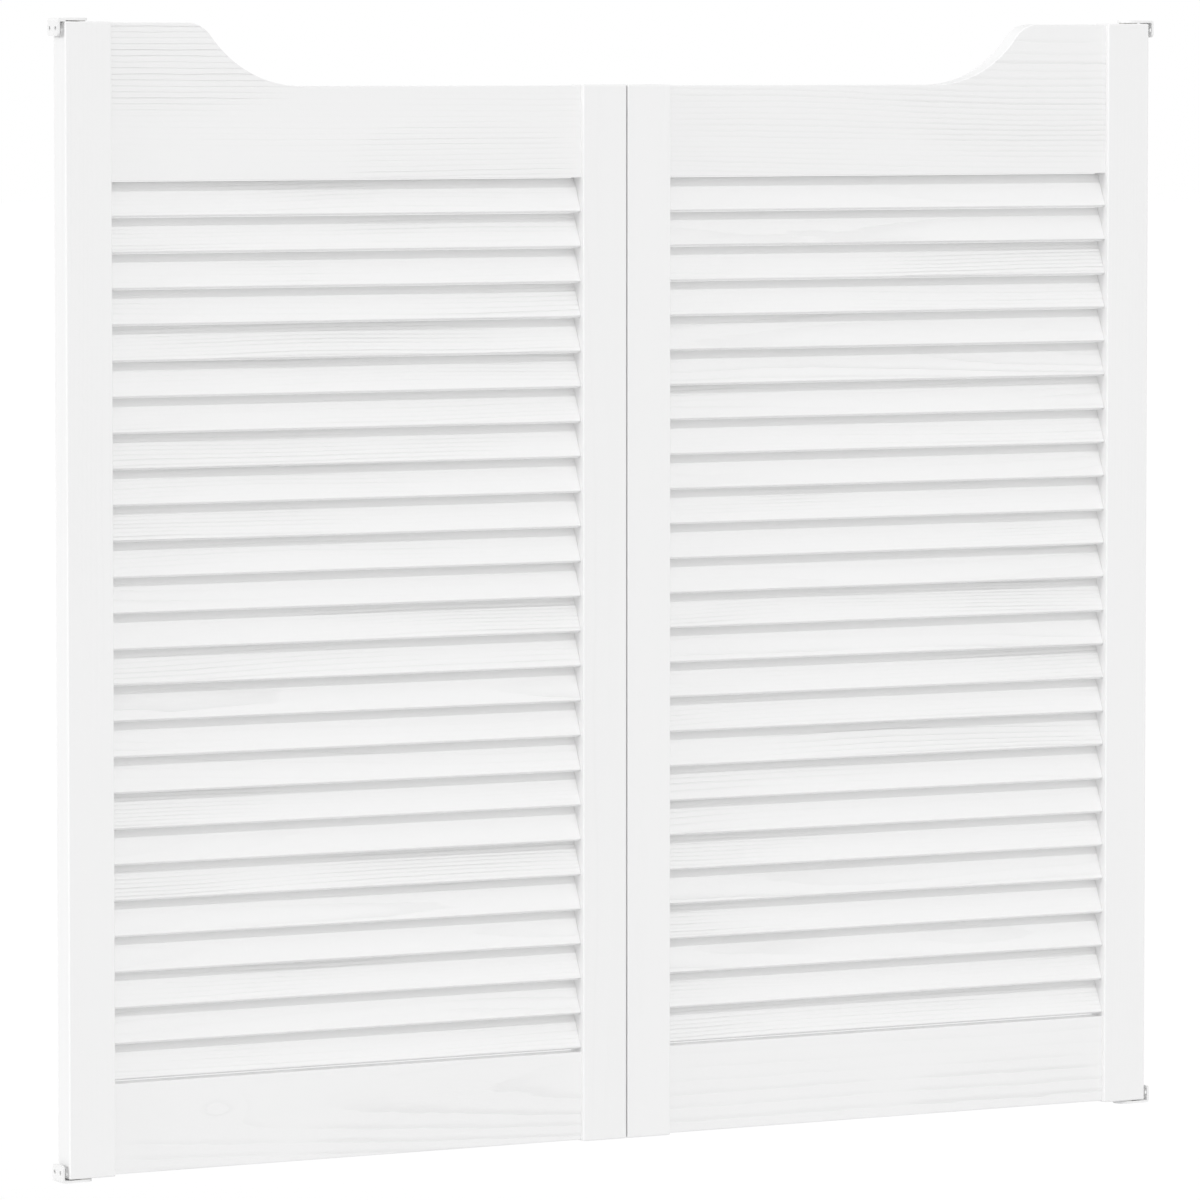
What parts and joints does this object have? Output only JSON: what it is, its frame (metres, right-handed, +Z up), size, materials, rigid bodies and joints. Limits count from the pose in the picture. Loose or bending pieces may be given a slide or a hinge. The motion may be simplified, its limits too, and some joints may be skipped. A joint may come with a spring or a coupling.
{
  "type": "cafe swinging doors",
  "caption": "Pair of white louvred swing doors with swept top corners, hung between jamb brackets on spring pivots so each leaf swings both ways.",
  "frame": {"origin": "midway between the two leaves, at the middle of their thickness, level with the underside of the bottom brackets", "axes": "+X across the doorway from the left leaf to the right leaf, +Y from the front of the doors to their back, +Z up"},
  "size_m": [1.0112, 0.021, 0.9056],
  "materials": {
    "white_painted_pine": "white paint, satin, with the grain of the pine faintly raised",
    "beech": "bare turned dowel",
    "white_coated_steel": "white powder coat",
    "zinc_plated_steel": "bright zinc plate",
    "spring_steel": "oiled drawn wire",
    "white_nylon": "moulded, matt"
  },
  "bodies": {
    "jamb_hardware": {"left_top_bracket": "white_coated_steel", "left_bracket_bush": "white_nylon", "left_bottom_bracket": "white_coated_steel", "left_bottom_spindle": "zinc_plated_steel", "left_thrust_washer": "white_nylon", "right_top_bracket": "white_coated_steel", "right_bracket_bush": "white_nylon", "right_bottom_bracket": "white_coated_steel", "right_bottom_spindle": "zinc_plated_steel", "right_thrust_washer": "white_nylon"},
    "left_leaf": {"left_outer_stile": "white_painted_pine", "left_inner_stile": "white_painted_pine", "left_top_rail": "white_painted_pine", "left_bottom_rail": "white_painted_pine", "left_slats_01_to_05": "white_painted_pine", "left_slats_06_to_10": "white_painted_pine", "left_slats_11_to_15": "white_painted_pine", "left_slats_16_to_20": "white_painted_pine", "left_slats_21_to_25": "white_painted_pine", "left_top_rail_dowels": "beech", "left_bottom_rail_dowels": "beech", "left_spring_housing": "zinc_plated_steel", "left_housing_screws": "zinc_plated_steel", "left_pivot_bush": "white_nylon", "left_torsion_spring": "spring_steel", "left_spring_anchor": "zinc_plated_steel", "left_pivot_barrel": "zinc_plated_steel", "left_barrel_cap": "zinc_plated_steel", "left_pin_guide": "white_nylon", "left_pin_spring": "spring_steel"},
    "left_pin": {"left_pivot_pin": "zinc_plated_steel"},
    "right_leaf": {"right_outer_stile": "white_painted_pine", "right_inner_stile": "white_painted_pine", "right_top_rail": "white_painted_pine", "right_bottom_rail": "white_painted_pine", "right_slats_01_to_05": "white_painted_pine", "right_slats_06_to_10": "white_painted_pine", "right_slats_11_to_15": "white_painted_pine", "right_slats_16_to_20": "white_painted_pine", "right_slats_21_to_25": "white_painted_pine", "right_top_rail_dowels": "beech", "right_bottom_rail_dowels": "beech", "right_spring_housing": "zinc_plated_steel", "right_housing_screws": "zinc_plated_steel", "right_pivot_bush": "white_nylon", "right_torsion_spring": "spring_steel", "right_spring_anchor": "zinc_plated_steel", "right_pivot_barrel": "zinc_plated_steel", "right_barrel_cap": "zinc_plated_steel", "right_pin_guide": "white_nylon", "right_pin_spring": "spring_steel"},
    "right_pin": {"right_pivot_pin": "zinc_plated_steel"}
  },
  "joints": [
    {"name": "left_swing", "type": "hinge", "parent": "jamb_hardware", "child": "left_leaf", "pos_m": [-0.486, 0, 0.4528], "axis": [0, 0, 1], "range_deg": [-90, 90], "stiffness_Nm_per_rad": 0.5, "deforming": ["left_torsion_spring"]},
    {"name": "right_swing", "type": "hinge", "parent": "jamb_hardware", "child": "right_leaf", "pos_m": [0.486, 0, 0.4528], "axis": [0, 0, -1], "range_deg": [-90, 90], "stiffness_Nm_per_rad": 0.5, "deforming": ["right_torsion_spring"]},
    {"name": "left_pin_slide", "type": "slide", "parent": "left_leaf", "child": "left_pin", "axis": [0, 0, 1], "range_m": [-0.004, 0], "stiffness_N_per_m": 900, "springref_m": 0.005, "deforming": ["left_pin_spring"]},
    {"name": "right_pin_slide", "type": "slide", "parent": "right_leaf", "child": "right_pin", "axis": [0, 0, 1], "range_m": [-0.004, 0], "stiffness_N_per_m": 900, "springref_m": 0.005, "deforming": ["right_pin_spring"]}
  ]
}
